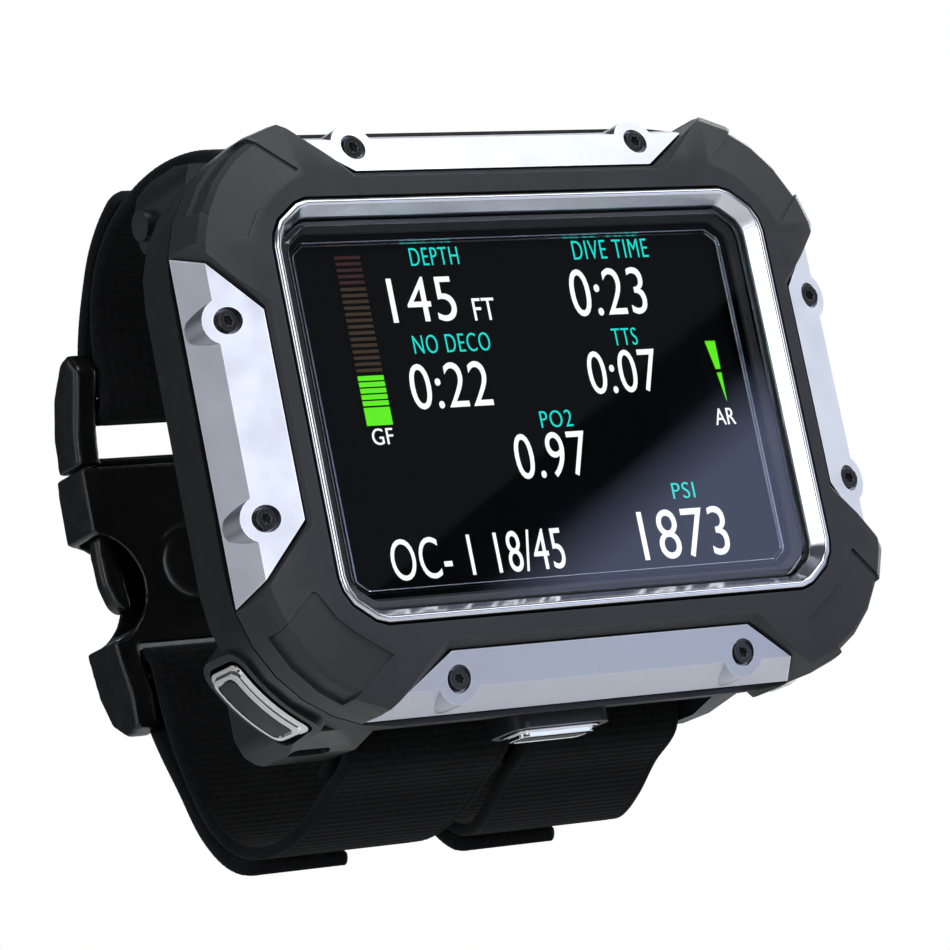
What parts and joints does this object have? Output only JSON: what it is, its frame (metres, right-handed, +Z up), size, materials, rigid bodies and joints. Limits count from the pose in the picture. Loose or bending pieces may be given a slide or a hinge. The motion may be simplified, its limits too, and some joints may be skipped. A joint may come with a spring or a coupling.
{
  "type": "dive computer",
  "caption": "Wrist-worn dive computer: rectangular display in a metal bezel, bolted frame plates, push buttons, and webbing straps with side-release buckles.",
  "frame": {"origin": "centre of the flat rear face that rests on the arm", "axes": "+X along the width of the display (to the reader's right), +Y out of the rear face into the arm, +Z up the display; the display faces -Y"},
  "size_m": [0.0966, 0.0709, 0.0934],
  "materials": {
    "case_black": "fine moulded texture",
    "bumper_charcoal": "fine moulded texture",
    "bezel_metal": "polished with a bead-blasted lip",
    "lens": "clear, anti-reflection coated",
    "black_rubber": "moulded",
    "screen_black": "black print and display cell",
    "plate_aluminium": "bead blasted, clear anodised",
    "black_screw": "black coated steel",
    "button_chrome": "polished",
    "steel": "brushed",
    "board": "solder mask",
    "cell_wrap": "foil pouch",
    "contact_gold": "gold plated",
    "webbing": "ribbed polyester webbing",
    "buckle_black": "gloss moulded acetal"
  },
  "bodies": {
    "computer": {"rear_case": "case_black", "display_carrier": "case_black", "front_bumper": "bumper_charcoal", "bezel_ring": "bezel_metal", "lens_glass": "lens", "lens_gasket": "black_rubber", "main_seal": "black_rubber", "display_mask": "screen_black", "display_panel": "screen_black", "main_board": "board", "battery_cell": "cell_wrap", "receiver_coil": "steel", "depth_sensor": "steel", "sensor_cover": "steel", "charge_contact_left": "contact_gold", "charge_contact_right": "contact_gold", "strap_bar_top": "steel", "strap_bar_bottom": "steel", "top_plate": "plate_aluminium", "right_plate": "plate_aluminium", "bottom_plate": "plate_aluminium", "left_plate": "plate_aluminium", "screw_top_left": "black_screw", "screw_top_right": "black_screw", "screw_bottom_left": "black_screw", "screw_bottom_right": "black_screw", "screw_left_upper": "black_screw", "screw_left_lower": "black_screw", "screw_right_upper": "black_screw", "screw_right_lower": "black_screw", "button_left_spring": "steel", "button_left_seal": "black_rubber", "button_centre_spring": "steel", "button_centre_seal": "black_rubber", "button_right_spring": "steel", "button_right_seal": "black_rubber"},
    "button_left": {"button_left_cap": "button_chrome", "button_left_insert": "case_black", "button_left_stem": "steel", "button_left_clip": "steel"},
    "button_centre": {"button_centre_cap": "button_chrome", "button_centre_insert": "case_black", "button_centre_stem": "steel", "button_centre_clip": "steel"},
    "button_right": {"button_right_cap": "button_chrome", "button_right_insert": "case_black", "button_right_stem": "steel", "button_right_clip": "steel"},
    "strap_left_upper": {"strap_left_upper_webbing": "webbing", "buckle_left_male": "buckle_black"},
    "strap_left_lower": {"strap_left_lower_webbing": "webbing", "buckle_left_female": "buckle_black"},
    "buckle_left_prong_right_arm": {"buckle_left_prong_right": "buckle_black"},
    "buckle_left_prong_left_arm": {"buckle_left_prong_left": "buckle_black"},
    "strap_right_upper": {"strap_right_upper_webbing": "webbing", "buckle_right_male": "buckle_black"},
    "strap_right_lower": {"strap_right_lower_webbing": "webbing", "buckle_right_female": "buckle_black"},
    "buckle_right_prong_right_arm": {"buckle_right_prong_right": "buckle_black"},
    "buckle_right_prong_left_arm": {"buckle_right_prong_left": "buckle_black"}
  },
  "joints": [
    {"name": "button_left_press", "type": "slide", "parent": "computer", "child": "button_left", "axis": [0.7071, 0, 0.7071], "range_m": [0, 0.0008], "stiffness_N_per_m": 1500},
    {"name": "button_centre_press", "type": "slide", "parent": "computer", "child": "button_centre", "axis": [0, 0, 1], "range_m": [0, 0.0008], "stiffness_N_per_m": 1500},
    {"name": "button_right_press", "type": "slide", "parent": "computer", "child": "button_right", "axis": [-0.7071, 0, 0.7071], "range_m": [0, 0.0008], "stiffness_N_per_m": 1500},
    {"name": "strap_left_upper_open", "type": "hinge", "parent": "computer", "child": "strap_left_upper", "pos_m": [0, 0.0015, 0.036], "axis": [1, 0, 0], "range_deg": [0, 60], "stiffness_Nm_per_rad": 0.02},
    {"name": "strap_left_lower_open", "type": "hinge", "parent": "computer", "child": "strap_left_lower", "pos_m": [0, 0.0015, -0.036], "axis": [1, 0, 0], "range_deg": [-54, 0], "stiffness_Nm_per_rad": 0.02},
    {"name": "buckle_left_pinch_right", "type": "hinge", "parent": "strap_left_upper", "child": "buckle_left_prong_right_arm", "pos_m": [-0.0039, 0.0423, 0.0101], "axis": [0, 1, 0], "range_deg": [0, 8], "stiffness_Nm_per_rad": 0.2},
    {"name": "buckle_left_pinch_left", "type": "hinge", "parent": "strap_left_upper", "child": "buckle_left_prong_left_arm", "pos_m": [-0.0301, 0.0423, 0.0101], "axis": [0, 1, 0], "range_deg": [-8, 0], "stiffness_Nm_per_rad": 0.2},
    {"name": "strap_right_upper_open", "type": "hinge", "parent": "computer", "child": "strap_right_upper", "pos_m": [0, 0.0015, 0.036], "axis": [1, 0, 0], "range_deg": [0, 60], "stiffness_Nm_per_rad": 0.02},
    {"name": "strap_right_lower_open", "type": "hinge", "parent": "computer", "child": "strap_right_lower", "pos_m": [0, 0.0015, -0.036], "axis": [1, 0, 0], "range_deg": [-54, 0], "stiffness_Nm_per_rad": 0.02},
    {"name": "buckle_right_pinch_right", "type": "hinge", "parent": "strap_right_upper", "child": "buckle_right_prong_right_arm", "pos_m": [0.0301, 0.0423, 0.0101], "axis": [0, 1, 0], "range_deg": [0, 8], "stiffness_Nm_per_rad": 0.2},
    {"name": "buckle_right_pinch_left", "type": "hinge", "parent": "strap_right_upper", "child": "buckle_right_prong_left_arm", "pos_m": [0.0039, 0.0423, 0.0101], "axis": [0, 1, 0], "range_deg": [-8, 0], "stiffness_Nm_per_rad": 0.2}
  ],
  "couplings": [
    {"joint": "strap_left_lower_open", "follows": "strap_left_upper_open", "ratio": -0.9},
    {"joint": "buckle_left_pinch_left", "follows": "buckle_left_pinch_right", "ratio": -1},
    {"joint": "strap_right_lower_open", "follows": "strap_right_upper_open", "ratio": -0.9},
    {"joint": "buckle_right_pinch_left", "follows": "buckle_right_pinch_right", "ratio": -1}
  ]
}
